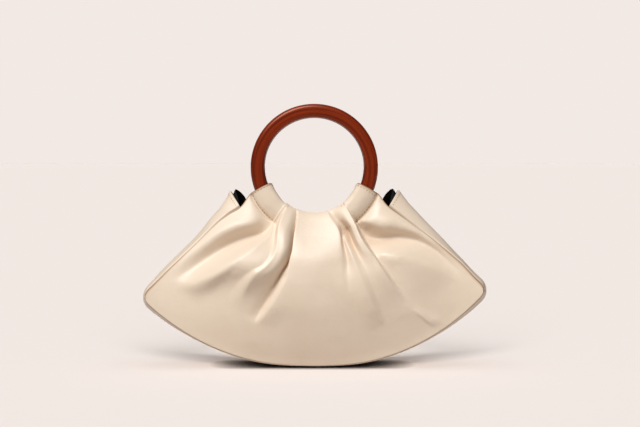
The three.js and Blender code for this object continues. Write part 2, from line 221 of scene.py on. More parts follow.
# Fold lines of a panel from its left edge to its right one.
# carry: how far the fold runs over the hem without a crease, 0 to 1
# crease: how sharp it is as a valley
# keys: place down the panel, from the rim, below 0, past the hem, 0, to the base, 1; place across the fan;
# height over the plain surface; and lean sideways
FOLDS = [
    ("left edge", 0, 0, [(0, -1, 0, 0), (1, -1, 0, 0)]),
    ("upper left ridge", 0, 0, [
        (0, -0.77, 0, 0), (0.04, -0.76, 2.6, 0), (0.13, -0.82, 4, 0), (0.25, -0.89, 3.6, 0),
        (0.4, -0.935, 2, 0), (0.65, -0.965, 0, 0), (1, -0.97, 0, 0),
    ]),
    ("left valley", 0, 0.1, [
        (0, -0.55, -1, 0), (0.04, -0.558, -4.5, 0), (0.15, -0.655, -10, 0), (0.3, -0.76, -10.5, 0),
        (0.45, -0.832, -8, 0), (0.58, -0.872, -4.5, 0), (0.68, -0.9, -1.5, 0), (0.78, -0.925, 0, 0),
        (1, -0.945, 0, 0),
    ]),
    ("left broad ridge", 0, 0, [
        (0, -0.535, 0, 0), (0.055, -0.515, 3, 0), (0.15, -0.555, 7, 0), (0.24, -0.588, 10, 0),
        (0.4, -0.67, 12, 0), (0.56, -0.742, 9, 0), (0.68, -0.795, 5, 0), (0.8, -0.84, 0, 0),
        (1, -0.86, 0, 0),
    ]),
    ("left shoulder", 0, 0, [
        (0, -0.52, 0, 0), (0.1, -0.495, 5, 0), (0.24, -0.535, 9.5, 0), (0.36, -0.595, 11.5, 0),
        (0.44, -0.63, 9, 0), (0.58, -0.665, 2, 0), (0.72, -0.69, 0, 0), (1, -0.7, 0, 0),
    ]),
    ("left pleat foot", 0, 0.2, [
        (-0.136, -0.5, 0, 0), (-0.029, -0.5, 0.5, 0), (0.022, -0.492, 2.5, 0), (0.08, -0.468, 5, 0),
        (0.147, -0.445, 7, 0), (0.215, -0.432, 8.3, 0), (0.297, -0.455, 9.5, 0),
        (0.36, -0.51, 10, 0), (0.42, -0.55, 7.5, 0), (0.5, -0.575, 3, 0), (0.6, -0.59, 0.5, 0),
        (0.7, -0.6, 0, 0), (1, -0.61, 0, 0),
    ]),
    ("left pleat", 1, 0, [
        (-0.2, -0.46, 0, 0), (-0.136, -0.46, 0.3, 0), (-0.101, -0.46, 1, -0.5),
        (-0.046, -0.453, 1.5, -1), (0.01, -0.437, 1, -1), (0.077, -0.412, 0, -1),
        (0.133, -0.395, 0, -0.5), (0.203, -0.38, 0.5, 0), (0.278, -0.39, 2.5, 0),
        (0.33, -0.42, 4, 0), (0.38, -0.455, 5, 0), (0.45, -0.485, 4, 0), (0.55, -0.5, 1, 0),
        (0.65, -0.505, 0, 0), (1, -0.53, 0, 0),
    ]),
    ("left pleat brow", 1, 0, [
        (-0.2, -0.4, 0, 0), (-0.136, -0.4, 0.3, 0), (-0.075, -0.388, 1.5, 0), (-0.018, -0.375, 2, 0),
        (0.045, -0.355, 2, 0), (0.115, -0.337, 1, 0), (0.19, -0.335, 0.5, 0), (0.27, -0.347, 1.2, 0),
        (0.333, -0.377, 2.3, 0), (0.38, -0.41, 2.5, 0), (0.45, -0.45, 1.5, 0), (0.55, -0.475, 0, 0),
        (0.65, -0.485, 0, 0), (1, -0.51, 0, 0),
    ]),
    ("deep left valley", 1, 1.9, [
        (-0.136, -0.33, 0, 0), (-0.09, -0.285, -2.5, 0), (-0.046, -0.25, -5.5, 0),
        (0, -0.234, -8.5, 0), (0.06, -0.226, -12, 0), (0.15, -0.226, -14.5, 0),
        (0.23, -0.238, -14.5, 0), (0.3, -0.265, -13, 0), (0.375, -0.292, -11.5, 0),
        (0.492, -0.325, -9, 0), (0.608, -0.352, -6, 0), (0.665, -0.362, -3.5, 0),
        (0.74, -0.37, 0, 0), (1, -0.4, 0, 0),
    ]),
    ("centre left crest", 1, 0, [
        (-0.2, -0.28, 0, 0), (-0.136, -0.27, 0, 0), (-0.09, -0.235, 0, -1),
        (-0.046, -0.208, 0, -2.5), (0, -0.198, -0.5, -3.7), (0.045, -0.195, -1, -4),
        (0.14, -0.196, -2, -4), (0.212, -0.2, -2.2, -3), (0.28, -0.21, -1.5, -1.5),
        (0.35, -0.22, -0.5, 0), (0.465, -0.25, 0.5, 0), (0.588, -0.29, 1.2, 0),
        (0.675, -0.318, 1, 0), (0.74, -0.33, 0, 0), (1, -0.35, 0, 0),
    ]),
    ("centre left foot", 1, 0, [
        (0, -0.12, 0, 0), (0.14, -0.12, -0.4, 0), (0.228, -0.12, -0.6, 0), (0.34, -0.11, -0.2, 0),
        (0.453, -0.125, 0, 0), (0.57, -0.15, 0.2, 0), (0.677, -0.19, 0, 0), (1, -0.22, 0, 0),
    ]),
    ("centre", 1, 0, [(0, 0, 0, 0), (1, 0, 0, 0)]),
    ("centre right crest", 1, 0, [
        (-0.136, 0.225, 0, 0), (-0.081, 0.25, 0, 0), (-0.048, 0.28, 0, 0.4), (-0.01, 0.3, 0, 0.6),
        (0.03, 0.302, -0.5, 0.6), (0.072, 0.297, -1.6, 0.3), (0.138, 0.284, -3, 0),
        (0.208, 0.262, -3.2, 0), (0.31, 0.23, -1.5, 0), (0.45, 0.22, 0, 0), (1, 0.22, 0, 0),
    ]),
    ("right valley", 1, 0.3, [
        (-0.136, 0.231, -0.1, 0), (-0.09, 0.256, -0.7, 0), (-0.06, 0.29, -1.8, 0.4),
        (-0.03, 0.312, -3, 0.6), (0, 0.317, -5, 0.6), (0.03, 0.32, -7, 0.6),
        (0.06, 0.326, -8.5, 0.3), (0.083, 0.33, -9, 0.3), (0.16, 0.33, -8, 0), (0.217, 0.322, -7, 0),
        (0.273, 0.303, -5.5, 0), (0.32, 0.288, -3.5, 0), (0.393, 0.268, -1.3, 0), (0.47, 0.26, 0, 0),
        (1, 0.26, 0, 0),
    ]),
    ("right small crest", 1, 0, [
        (-0.136, 0.237, -0.2, 0), (-0.09, 0.268, -2, 0), (-0.06, 0.312, -4, 0.4),
        (-0.03, 0.335, -7.5, 0.6), (0, 0.34, -9.5, 0.6), (0.03, 0.345, -9.5, 0.6),
        (0.062, 0.352, -7, 0.3), (0.118, 0.366, -5, 0), (0.17, 0.372, -3.8, 0),
        (0.225, 0.374, -2.8, 0), (0.338, 0.374, -0.8, 0), (0.448, 0.373, 1.4, 0),
        (0.557, 0.374, 2.8, 0), (0.635, 0.38, 2.8, 0), (0.7, 0.385, 1.7, 0), (0.8, 0.39, 0, 0),
        (1, 0.36, 0, 0),
    ]),
    ("right dip", 1, 0.2, [
        (-0.136, 0.262, -0.5, 0), (-0.099, 0.29, -2.5, 0), (-0.062, 0.345, -6, 0),
        (-0.03, 0.39, -10.5, 0), (0, 0.412, -14, 0), (0.03, 0.422, -16, 0), (0.077, 0.429, -15.5, 0),
        (0.13, 0.432, -12.5, 0), (0.188, 0.435, -9.5, 0), (0.247, 0.438, -7, 0),
        (0.357, 0.44, -3.5, 0), (0.473, 0.43, -1, 0), (0.6, 0.43, 0, 0), (1, 0.44, 0, 0),
    ]),
    ("right pleat", 1, 0, [
        (-0.2, 0.475, 0, 0), (-0.136, 0.47, 0.3, 0), (-0.092, 0.465, 0.6, 0), (-0.052, 0.468, 1, 0),
        (-0.003, 0.47, 0, 0), (0.052, 0.474, -2, 0), (0.113, 0.482, -3.5, 0), (0.175, 0.49, -4, 0),
        (0.235, 0.5, -4, 0), (0.297, 0.51, -3, 0), (0.425, 0.525, 0.3, 0), (0.55, 0.538, 1.5, 0),
        (0.65, 0.552, 1.4, 0), (0.75, 0.576, 1.2, 0), (0.86, 0.615, 0.6, 0), (1, 0.645, 0, 0),
    ]),
    ("right pleat brow", 1, 0, [
        (-0.2, 0.53, 0, 0), (-0.136, 0.53, 0, 0), (-0.079, 0.527, 0.5, 0.3), (-0.038, 0.521, 1, 0.5),
        (0.013, 0.518, 0.5, 0.5), (0.07, 0.525, -1.5, 0.5), (0.128, 0.532, -3, 0.5),
        (0.188, 0.536, -3.5, 0.5), (0.25, 0.541, -3, 0.5), (0.307, 0.547, -2, 0.5),
        (0.48, 0.557, 0.8, 0), (0.608, 0.567, 1, 0), (0.733, 0.594, 0.8, 0), (0.84, 0.63, 2, 0),
        (0.895, 0.65, 2, 0), (0.94, 0.665, 0.8, 0), (1, 0.68, 0, 0),
    ]),
    ("right pleat foot", 0, 0.3, [
        (-0.136, 0.565, 0, 0), (-0.038, 0.554, 0, 0), (0.013, 0.55, -4, 0), (0.07, 0.557, -9, 0),
        (0.128, 0.563, -11, 0), (0.188, 0.565, -8, 0), (0.25, 0.568, -3, 0), (0.307, 0.572, 0, 0),
        (0.48, 0.583, 0.5, 0), (0.608, 0.6, 0.2, 0), (0.733, 0.645, 0, 0), (0.84, 0.69, 0, 0),
        (0.922, 0.72, 0, 0), (1, 0.74, 0, 0),
    ]),
    ("right broad ridge", 0, 0, [
        (-0.136, 0.585, 0, 0), (0, 0.568, -0.5, 0), (0.07, 0.574, -9, 0), (0.128, 0.58, -12, 0),
        (0.188, 0.59, -10, 0), (0.25, 0.61, -3.5, 0), (0.31, 0.652, 3.2, 0), (0.403, 0.727, 5.6, 0),
        (0.517, 0.792, 5, 0), (0.642, 0.85, 3, 0), (0.8, 0.885, 0, 0), (1, 0.91, 0, 0),
    ]),
    ("right upper valley", 0, 0.1, [
        (-0.136, 0.605, 0, 0), (0, 0.585, 0, 0), (0.06, 0.592, -7, 0), (0.1, 0.602, -11, 0),
        (0.168, 0.64, -13, 0), (0.233, 0.735, -12, 0), (0.312, 0.84, -9.5, 0),
        (0.413, 0.905, -6.5, 0), (0.6, 0.94, -3.5, 0), (0.76, 0.94, -1, 0), (0.85, 0.945, 0, 0),
        (1, 0.965, 0, 0),
    ]),
    ("upper right ridge", 0, 0, [
        (-0.136, 0.65, 0, 0), (0, 0.625, 0, 0), (0.03, 0.667, 2, 0), (0.062, 0.73, 3.4, 0),
        (0.158, 0.855, 4.4, 0), (0.233, 0.925, 3.6, 0), (0.325, 0.96, 3, 0), (0.43, 0.975, 1, 0),
        (0.6, 0.983, 0, 0), (1, 0.985, 0, 0),
    ]),
    ("right edge", 0, 0, [(0, 1, 0, 0), (1, 1, 0, 0)]),
]
_, FOLD_CARRIES, FOLD_CREASES, FOLD_KEYS = zip(*FOLDS)
ACROSS, RISE, LEAN = 1, 2, 3

# Columns of points: their shares of the gap beside each edge, and how many there are in each gap between
EDGE_SHARES = [0, 0.035, 0.09, 0.15, 0.2, 0.25, 0.3, 0.4, 0.55, 0.77]
STEPS_BETWEEN = [6, 6, 4, 4, 6, 4, 8, 6, 5, 6, 8, 4, 4, 7, 7, 4, 5, 4, 5, 5]

# A sewn edge: distance from the edge, depth below the plain surface. It turns in towards its seam beside a
# lip, and a corner of a few cells turns in one way.
TURNED_EDGE = [(0, 2), (0.5, 0.9), (1.1, 0), (1.9, -0.45), (2.8, -0.3), (4.2, 0)]
EDGE_STEPS = [distance for distance, _ in TURNED_EDGE]
CORNER_CELLS = 4

# The sewn hem: distance from it, depth below the plain surface. The groove starts beside the pleats, at a
# place across the fan, and ends near the sides.
HEM_GROOVE = [(0, 1.3), (0.8, 0.8), (2, 0.1), (3, -0.25), (5, 0)]
HEM_GROOVE_START = 0.51
HEM_GROOVE_FADE = 0.07
HEM_GROOVE_END = 4

# Rows of points of a face: its length, which spaces those at the base; the first and last place and the
# number of the others; and those at the hem
FACE_LENGTH = 150
FACE_ROWS = (0.955, 0.045, 54)
HEM_ROWS = [0.006, 0.013, 0.02, 0.032]


# Numbers between two others
def lerp(a, b, share):
    return a + (b - a) * share


# How far values have come from a start, 0, to an end, 1
def ramp(values, start, end):
    return np.clip((values - start) / (end - start), 0, 1)


# The same way with a gentle start and end
def eased(share):
    return share**2 * (3 - 2 * share)


# Distances between points of one surface and other points
def apart(rows, others):
    return np.linalg.norm(rows - others, axis=2)


# Distances of a surface's points from the nearer one of its two sides
def to_sides(rows):
    return np.minimum(apart(rows, rows[:, :1]), apart(rows, rows[:, -1:]))


# Lengths along a line of points from its start to each of them
def lengths_along(points):
    return np.cumsum(np.linalg.norm(np.diff(points, axis=0, prepend=points[:1]), axis=1))


# Smooth curve through points with rising x that never swings past a point: a crest stays the crest.
# crease: how sharp the curve is at each point that is lower than both its neighbours, 0 for round.
def through_points(xs, ys, x, crease=0):
    xs, ys, x = (np.asarray(values, float) for values in (xs, ys, x))
    widths = np.diff(xs)
    slopes = np.diff(ys) / widths
    before, after = slopes[:-1], slopes[1:]
    same_way = before * after > 0
    inner = np.where(same_way, 2 * before * after / np.where(same_way, before + after, 1), 0)
    leaving = np.concatenate([[0], inner])
    arriving = np.concatenate([inner, [0]])
    if np.any(crease):
        sharp = np.where((before < 0) & (after > 0), np.asarray(crease)[1:-1], 0)
        leaving[1:] += sharp * after
        arriving[:-1] += sharp * before
    i = np.clip(np.searchsorted(xs, x) - 1, 0, len(widths) - 1)
    u = np.clip((x - xs[i]) / widths[i], 0, 1)
    rising = widths[i] * (leaving[i] * u * (1 - u) ** 2 + arriving[i] * u * u * (u - 1))
    return ys[i] * (1 + 2 * u) * (1 - u) ** 2 + ys[i + 1] * u * u * (3 - 2 * u) + rising


# The same curve through one column of a table, against its first column
def column(table, index, x):
    return through_points([row[0] for row in table], [row[index] for row in table], x)


# Points of the front sleeve: across the fan, away from the ring's centre, and in front of the ring
def sleeve_point(across, r, front):
    half_arc = lerp(RIM_HALF_ARC, HEM_HALF_ARC, (r - RIM_R) / (HEM_R - RIM_R))
    up = -r * np.cos(across * half_arc)
    return np.stack(
        [
            r * np.sin(across * half_arc),
            RING_CENTRE_Y + up * math.sin(RING_LEAN) - front * math.cos(RING_LEAN),
            RING_CENTRE_Z + up * math.cos(RING_LEAN) + front * math.sin(RING_LEAN),
        ],
        axis=-1,
    )


def hem_point(across):
    return sleeve_point(np.asarray(across, float), HEM_R, SLEEVE_SECTION[0][1])


# Half of the outline, from the hem's end down a side, round a corner and along the base to the middle.
# index is its column in the tables of both halves.
class OutlineHalf:
    def __init__(self, index, side, corner_z):
        start_x, _, start_z = hem_point(1)
        self.index, self.side, self.corner_z = index, side, corner_z
        self.corner_x = HALF_WIDTH - CORNER_R
        rise = FLOOR_SINK + corner_z
        self.base_r = (rise**2 - CORNER_R**2 + self.corner_x**2) / (2 * (rise - CORNER_R))
        base_sweep = math.asin(self.corner_x / (self.base_r - CORNER_R))
        dx, dz = start_x - self.corner_x, start_z - corner_z
        to_start = math.hypot(dx, dz)
        self.side_angle = math.atan2(dz, dx) - math.acos(CORNER_R / to_start)
        self.side_length = math.sqrt(to_start**2 - CORNER_R**2)
        self.corner_end = self.side_length + CORNER_R * (self.side_angle + math.pi / 2 - base_sweep)
        self.length = self.corner_end + self.base_r * base_sweep
        self.corner_middle = self.side_length + CORNER_R * self.side_angle

    # Place and outward direction at lengths along the outline
    def at(self, along):
        along = np.asarray(along, float)
        left_over = np.maximum(self.side_length - along, 0)
        round_corner = np.maximum(along - self.side_length, 0) / CORNER_R
        sweep = (self.length - along) / self.base_r
        on_base = along >= self.corner_end
        angle = np.where(on_base, sweep - math.pi / 2, self.side_angle - round_corner)
        swing = column(SIDE_SWING, self.index, along / self.side_length)
        x = self.corner_x + (CORNER_R + swing) * np.cos(angle) - left_over * math.sin(self.side_angle)
        z = self.corner_z + (CORNER_R + swing) * np.sin(angle) + left_over * math.cos(self.side_angle)
        x = np.where(on_base, self.base_r * np.sin(sweep), x)
        z = np.where(on_base, self.base_r * (1 - np.cos(sweep)) - FLOOR_SINK, z)
        return self.side * x, z, self.side * np.cos(angle), np.sin(angle)


LEFT = OutlineHalf(index=1, side=-1, corner_z=LEFT_CORNER_Z)
RIGHT = OutlineHalf(index=2, side=1, corner_z=RIGHT_CORNER_Z)


# Half the bag's depth on the outline: along a side from the hem's end to the corner, and along the base
def side_depth(down):
    return lerp(-hem_point(1)[1], CORNER_DEPTH, down)


def base_depth(across):
    return lerp(BASE_DEPTH, CORNER_DEPTH, np.abs(across) ** 3)


def base_point(across):
    x_left, z_left, _, _ = LEFT.at(lerp(LEFT.length, LEFT.corner_middle, np.abs(across)))
    x_right, z_right, _, _ = RIGHT.at(lerp(RIGHT.length, RIGHT.corner_middle, np.abs(across)))
    return np.where(across < 0, x_left, x_right), np.where(across < 0, z_left, z_right)


# A panel's plain surface, without folds: blended between the hem, the base and the two sides
def plain_point(across, down):
    hem = hem_point(across)
    base_x, base_z = base_point(across)
    x = lerp(hem[:, 0], base_x, down)
    z = lerp(hem[:, 2], base_z, down)
    for half in (LEFT, RIGHT):
        hem_end = hem_point(half.side)
        corner_x, corner_z, _, _ = half.at(half.corner_middle)
        edge_x, edge_z, _, _ = half.at(down * half.corner_middle)
        share = (1 + half.side * across) / 2
        x += share * (edge_x - lerp(hem_end[0], corner_x, down))
        z += share * (edge_z - lerp(hem_end[2], corner_z, down))
    highest = BELLY_RISE / (BELLY_RISE + BELLY_FALL)
    swell, most = (s**BELLY_RISE * (1 - s) ** BELLY_FALL for s in (down, highest))
    belly = BELLY * swell * (1 - np.clip(np.abs(across), 0, 1) ** BELLY_SPREAD) / most
    y = -lerp(-hem[:, 1], base_depth(across), down) - belly
    return np.stack([x, y, z], axis=-1)


# One value of every fold at one place down the panel
def folds_at(which, down):
    return np.array([float(column(keys, which, down)) for keys in FOLD_KEYS])


# How far a pleat that runs over the hem stands forward of the plain surface, at places across one row
def over_hem(across, down):
    if down < 0:
        place = down / SLEEVE_STEP
        r, front = section_at(min(place, RIM_PLACE))
        plain = sleeve_point(across, r, front)
        drop = r - HEM_R
        share = ramp(place, RIM_PLACE + BEHIND_RIM, RIM_PLACE)
    else:
        plain = plain_point(across, down)
        drop = hem_point(0)[2] - plain_point(np.zeros(1), down)[0, 2]
        share = ramp(down, *OVER_HEM_FADE)
    forward = hem_point(across)[:, 1] - plain[:, 1]
    return eased(share) * (column(OVER_HEM, 1, drop) - forward)


# Columns of a panel follow its fold lines, closer together beside the two edges.
def columns_across(lines):
    shares = [EDGE_SHARES]
    shares += [[k / steps for k in range(steps)] for steps in STEPS_BETWEEN]
    shares += [[1 - share for share in reversed(EDGE_SHARES)]]
    across = [lerp(lines[i], lines[i + 1], share) for i, steps in enumerate(shares) for share in steps]
    return np.array(across)


# Places across one row, its height over the plain surface there, its lean, how far it is carried over the
# hem, and how far it stands forward for that
def folded(down):
    lines = folds_at(ACROSS, down)
    across = columns_across(lines)
    rise = through_points(lines, folds_at(RISE, down), across, FOLD_CREASES)
    lean = through_points(lines, folds_at(LEAN, down), across)
    carry = through_points(lines, FOLD_CARRIES, across)
    return across, rise, lean, carry, carry * over_hem(across, down)


def face_row(down):
    across, rise, lean, _, over = folded(down)
    spread = np.linalg.norm(np.gradient(plain_point(across, down), across, axis=0), axis=1)
    points = plain_point(np.clip(across + lean / spread, -1, 1), down)
    points[:, 1] -= rise + over
    return points


# The sleeve's section at a place along it, counted in the table's own points
def section_at(place):
    places = range(len(SLEEVE_SECTION))
    place = np.clip(place, 0, len(SLEEVE_SECTION) - 1)
    return [float(through_points(places, values, place)) for values in zip(*SLEEVE_SECTION)]


def sleeve_row(place):
    r, front = section_at(place)
    ahead, behind = section_at(place + SLOPE_STEP), section_at(place - SLOPE_STEP)
    out = np.array([ahead[1] - behind[1], behind[0] - ahead[0]])
    out = lerp(out / np.linalg.norm(out), np.array([0, 1]), max(0, 1 - place) ** 2)
    out /= np.linalg.norm(out)
    across, rise, lean, carry, over = folded(place * SLEEVE_STEP)
    moved = np.clip(across + lean / (r * HEM_HALF_ARC), -1, 1)
    outwards = rise * (1 - carry)
    points = sleeve_point(moved, r + out[0] * outwards, front + out[1] * outwards)
    points[:, 1] -= over + rise * carry
    return points


# Directions out of a surface given as rows of points
def normals_of(rows):
    along = np.gradient(rows, axis=0)
    across = np.gradient(rows, axis=1)
    normals = np.cross(across, along)
    return normals / np.maximum(np.linalg.norm(normals, axis=2, keepdims=True), TINY)


# Depth of a sewn edge or groove at distances from it
def sewn_depth(table, distance):
    return column(table, 1, np.clip(distance, 0, table[-1][0]))


# Height over the floor of a base that rests on it with no sharp bend
def above_floor(z):
    return (z + np.sqrt(z**2 + BASE_ROUNDING**2)) / 2


# Places of a panel's rows of points: up the face from the base seam, then over the ring and down behind it
def panel_stations():
    face = [1 - step / FACE_LENGTH for step in EDGE_STEPS]
    face += list(np.linspace(*FACE_ROWS)) + HEM_ROWS[::-1]
    over_ring = np.linspace(0, len(SLEEVE_SECTION) - 1, SLEEVE_STEPS * (len(SLEEVE_SECTION) - 1) + 1)
    sleeve = [0] + [-row / SLEEVE_STEP / 2 for row in HEM_ROWS[:2]] + list(over_ring[1:])
    return face, sleeve


# The front panel's outer surface as rows of points
def panel_rows(face, sleeve):
    rows = np.array([face_row(down) for down in face] + [sleeve_row(place) for place in sleeve])
    normals = normals_of(rows)
    normals[:CORNER_CELLS, :CORNER_CELLS] = normals[CORNER_CELLS, CORNER_CELLS]
    normals[:CORNER_CELLS, -CORNER_CELLS:] = normals[CORNER_CELLS, -CORNER_CELLS - 1]
    to_edge = to_sides(rows)
    to_base = apart(rows, rows[:1])
    to_hem = apart(rows, rows[len(face)])
    depth = np.maximum(sewn_depth(TURNED_EDGE, to_edge), sewn_depth(TURNED_EDGE, to_base))
    depth = np.where(np.minimum(to_edge, to_base) > EDGE_STEPS[-1], 0, depth)
    along_hem = np.abs(columns_across(folds_at(ACROSS, 0)))
    beside_pleats = ramp(along_hem, HEM_GROOVE_START, HEM_GROOVE_START + HEM_GROOVE_FADE)
    depth += sewn_depth(HEM_GROOVE, to_hem) * beside_pleats * ramp(to_edge, 0, HEM_GROOVE_END)
    rows = rows - normals * depth[:, :, None]
    rows[:, :, 2] = above_floor(rows[:, :, 2])
    return rows


# Share of the leather's full thickness: pared thin in the tight pleats, so that they fold without a lump
def pared(stations):
    shares = []
    for down in stations:
        across = np.abs(columns_across(folds_at(ACROSS, down)))
        in_pleats = ramp(across, *PARED_ACROSS)
        in_rows = ramp(down, *PARED_FACE) * ramp(down, *PARED_SLEEVE)
        shares.append(1 - (1 - PARED_SHARE) * in_pleats * in_rows)
    return np.array(shares)


# Painted shade at each point of a panel: how deep in a fold it lies, 0 to 1, or more towards its seams
def painted_shade_at(stations, rows):
    depth = -np.array([folded(down)[1] for down in stations])
    painted_shade = np.maximum(ramp(depth, *FOLD_SHADE_DEPTHS), PAINTED_SEAM_SHADE * ramp(to_sides(rows), *SEAM_SHADE))
    painted_shade[:, PAINTED_SEAM_LINES] = PAINTED_SEAM_SHADE
    painted_shade[PAINTED_SEAM_LINES[:2]] = PAINTED_SEAM_SHADE
    return painted_shade


# Stations along one half of the gusset, from its top end to the middle of the base
def gusset_stations(half):
    def stretch(start, end, count, crowding=1):
        return [lerp(start, end, (k / count) ** crowding) for k in range(count)]

    top = [GUSSET_START + step for step in EDGE_STEPS[:-1]]
    return [
        *top,
        *stretch(GUSSET_START + EDGE_STEPS[-1], half.side_length, SIDE_STEPS, SIDE_CROWDING),
        *stretch(half.side_length, half.corner_end, CORNER_STEPS),
        *stretch(half.corner_end, half.length, BASE_STEPS),
    ]


# Points of the gusset's outer face: along one half, and across it from the front seam, -1, to the back, 1
def gusset_point(half, along, across, peak_height=GUSSET_PEAK):
    down = along / half.corner_middle
    inwards = (along - half.corner_middle) / (half.length - half.corner_middle)
    if down < 1:
        depth, bow = side_depth(down), column(SIDE_BOW, half.index, down)
    else:
        depth, bow = base_depth(1 - inwards), column(BASE_BOW, half.index, inwards)
    hump = 1 - across**2
    peak = peak_height * hump * ramp(along, GUSSET_START + GUSSET_PEAK_LENGTH, GUSSET_START)
    x, z, out_x, out_z = half.at(along - peak)
    y = across * (depth - PANEL_LEATHER - SEAM_GAP)
    z = above_floor(z + out_z * bow * hump) - FLOOR_TOUCH * hump
    return np.stack([x + out_x * bow * hump, y, np.maximum(z, 0)], axis=-1)


def gusset_columns():
    edge = [1 - step / GUSSET_HALF for step in EDGE_STEPS]
    half = edge + list(np.linspace(*INNER_COLUMNS))
    return np.array([-c for c in half] + half[-2::-1])


def gusset_rows():
    across = gusset_columns()
    left = [gusset_point(LEFT, along, across) for along in gusset_stations(LEFT)]
    right = [gusset_point(RIGHT, along, across) for along in gusset_stations(RIGHT)]
    rows = np.array(left + [gusset_point(LEFT, LEFT.length, across)] + right[::-1])
    normals = normals_of(rows)
    depth = sewn_depth(TURNED_EDGE, to_sides(rows)) * GUSSET_TURN
    rows = rows - normals * depth[:, :, None]
    tucked = rows[:, [0, -1]] - normals[:, [0, -1]] * TUCK_DEPTH
    tucked[:, :, 1] += np.array([-1, 1]) * lerp(*TUCK_WIDTH, ramp(tucked[:, :, 2], *TUCK_WIDENS))
    rows = np.concatenate([tucked[:, :1], rows, tucked[:, 1:]], axis=1)
    rows[:, :, 2] = np.maximum(rows[:, :, 2], 0)
    return rows


def lining_rows(half):
    across = np.linspace(-LINING_SPAN, LINING_SPAN, LINING_COLUMNS)
    proud = LINING_PROUD * (1 - np.abs(across / LINING_SPAN) ** LINING_CORNER)
    rows = []
    for share in np.linspace(0, 1, LINING_ROWS):
        alongs = lerp(GUSSET_START - proud, GUSSET_START + LINING_REACH, share)
        peaks = GUSSET_PEAK * ramp(alongs, GUSSET_START - LINING_PROUD, GUSSET_START)
        rows.append([gusset_point(half, *spot) for spot in zip(alongs, across, peaks)])
    rows = np.array(rows)
    out = normals_of(rows) * (1 if half.side < 0 else -1)
    rows -= out * (PANEL_LEATHER + LINING_GAP)
    near_top = np.linspace(1, 0, len(rows)) ** 2
    towards_back = ((1 + across / LINING_SPAN) / 2) ** 2
    rows[:, :, 0] -= half.side * LINING_LEAN * near_top[:, None] * towards_back
    return rows


# An object with its mesh, smooth all over
def finished(name, bm, *materials):
    mesh = bpy.data.meshes.new(name)
    bm.to_mesh(mesh)
    bm.free()
    mesh.shade_smooth()
    made = bpy.data.objects.new(name, mesh)
    bpy.context.scene.collection.objects.link(made)
    for material in materials:
        mesh.materials.append(material)
    return made


# A grid of faces laid over rows of points, facing mostly the way that out gives. It keeps where each point
# lies on the flat sheet, its share of the full wall thickness and the painted shade of its fold or seam.
def sheet_over(rows, out, share=None, painted_shade=None):
    high, wide = rows.shape[:2]
    bm = bmesh.new()
    bmesh.ops.create_grid(bm, x_segments=wide - 1, y_segments=high - 1, size=1)
    weights = bm.verts.layers.deform.verify()
    # Layer that holds the painted shade of folds and seams
    deep = bm.verts.layers.float.new("painted_shade")
    flat = bm.loops.layers.uv.new("flat")
    spots = {}
    for vert in bm.verts:
        j = round((vert.co.x + 1) / 2 * (wide - 1))
        i = round((vert.co.y + 1) / 2 * (high - 1))
        spots[vert] = i, j
        vert.co = Vector(rows[i, j]) * MM
        vert[weights][0] = 1 if share is None else share[i, j]
        vert[deep] = 0 if painted_shade is None else painted_shade[i, j]
    down = lengths_along(rows[:, wide // 2]) * MM
    across = lengths_along(rows[high // 2]) * MM
    for face in bm.faces:
        for loop in face.loops:
            i, j = spots[loop.vert]
            loop[flat].uv = across[j], down[i]
    bm.normal_update()
    facing = sum((face.normal for face in bm.faces), Vector())
    if facing.dot(Vector(out)) < 0:
        bmesh.ops.reverse_faces(bm, faces=bm.faces)
    return bm


# A run of stitches along points of a surface, each one a small lozenge laid on it
def sew(bm, points, normals):
    lengths = lengths_along(points)

    def at(values, length):
        return Vector([np.interp(length, lengths, values[:, axis]) for axis in range(3)])

    count = max(1, round(lengths[-1] / STITCH_PITCH))
    for k in range(count):
        middle = (k + 0.5) * lengths[-1] / count
        along = (at(points, middle + STITCH_REACH) - at(points, middle - STITCH_REACH)).normalized()
        out = at(normals, middle)
        out = (out - along * out.dot(along)).normalized()
        turned = Matrix((along, out.cross(along), out)).transposed().to_4x4()
        place = Matrix.Translation((at(points, middle) - out * STITCH_SUNK) * MM)
        size = Matrix.Diagonal((*(half * MM for half in STITCH_HALF), 1))
        bmesh.ops.create_uvsphere(
            bm,
            u_segments=STITCH_SIDES,
            v_segments=STITCH_RINGS,
            radius=1,
            matrix=place @ turned @ size,
        )


# The stitches of one panel: along the hem beside the pleats, up both free ends of the sleeve, and two tacks
def panel_stitches(rows, hem, facing):
    normals = normals_of(rows)
    normals *= -facing * np.sign(normals[hem // 2, rows.shape[1] // 2, 1])
    beside = np.abs(columns_across(folds_at(ACROSS, 0))) > HEM_GROOVE_START + HEM_GROOVE_FADE / 2
    middle = rows.shape[1] // 2
    left = np.nonzero(beside[:middle])[0][END_STITCH_COLUMN:]
    right = middle + np.nonzero(beside[middle:])[0][:-END_STITCH_COLUMN]
    row = hem + HEM_STITCH_ROW
    bm = bmesh.new()
    for columns in (left, right):
        sew(bm, rows[row, columns], normals[row, columns])
    for column_index in (END_STITCH_COLUMN, -1 - END_STITCH_COLUMN):
        sew(bm, rows[row:, column_index], normals[row:, column_index])
    at_rim = columns_across(folds_at(ACROSS, RIM_PLACE * SLEEVE_STEP))
    for across in TACK_ACROSS:
        near = np.argmin(np.abs(at_rim - across))
        tack = slice(near, near + 2)
        sew(bm, rows[hem + TACK_ROW, tack], normals[hem + TACK_ROW, tack])
    return bm


# Gives a sheet its wall, inwards from its outer face, and rounds it
def thicken(made, thickness, inner_material=0):
    made.vertex_groups.new(name="wall")
    wall = made.modifiers.new("thickness", "SOLIDIFY")
    wall.thickness = thickness * MM
    wall.vertex_group = "wall"
    wall.offset = -1
    wall.material_offset = inner_material
    rounding = made.modifiers.new("rounding", "SUBSURF")
    rounding.levels = rounding.render_levels = 1


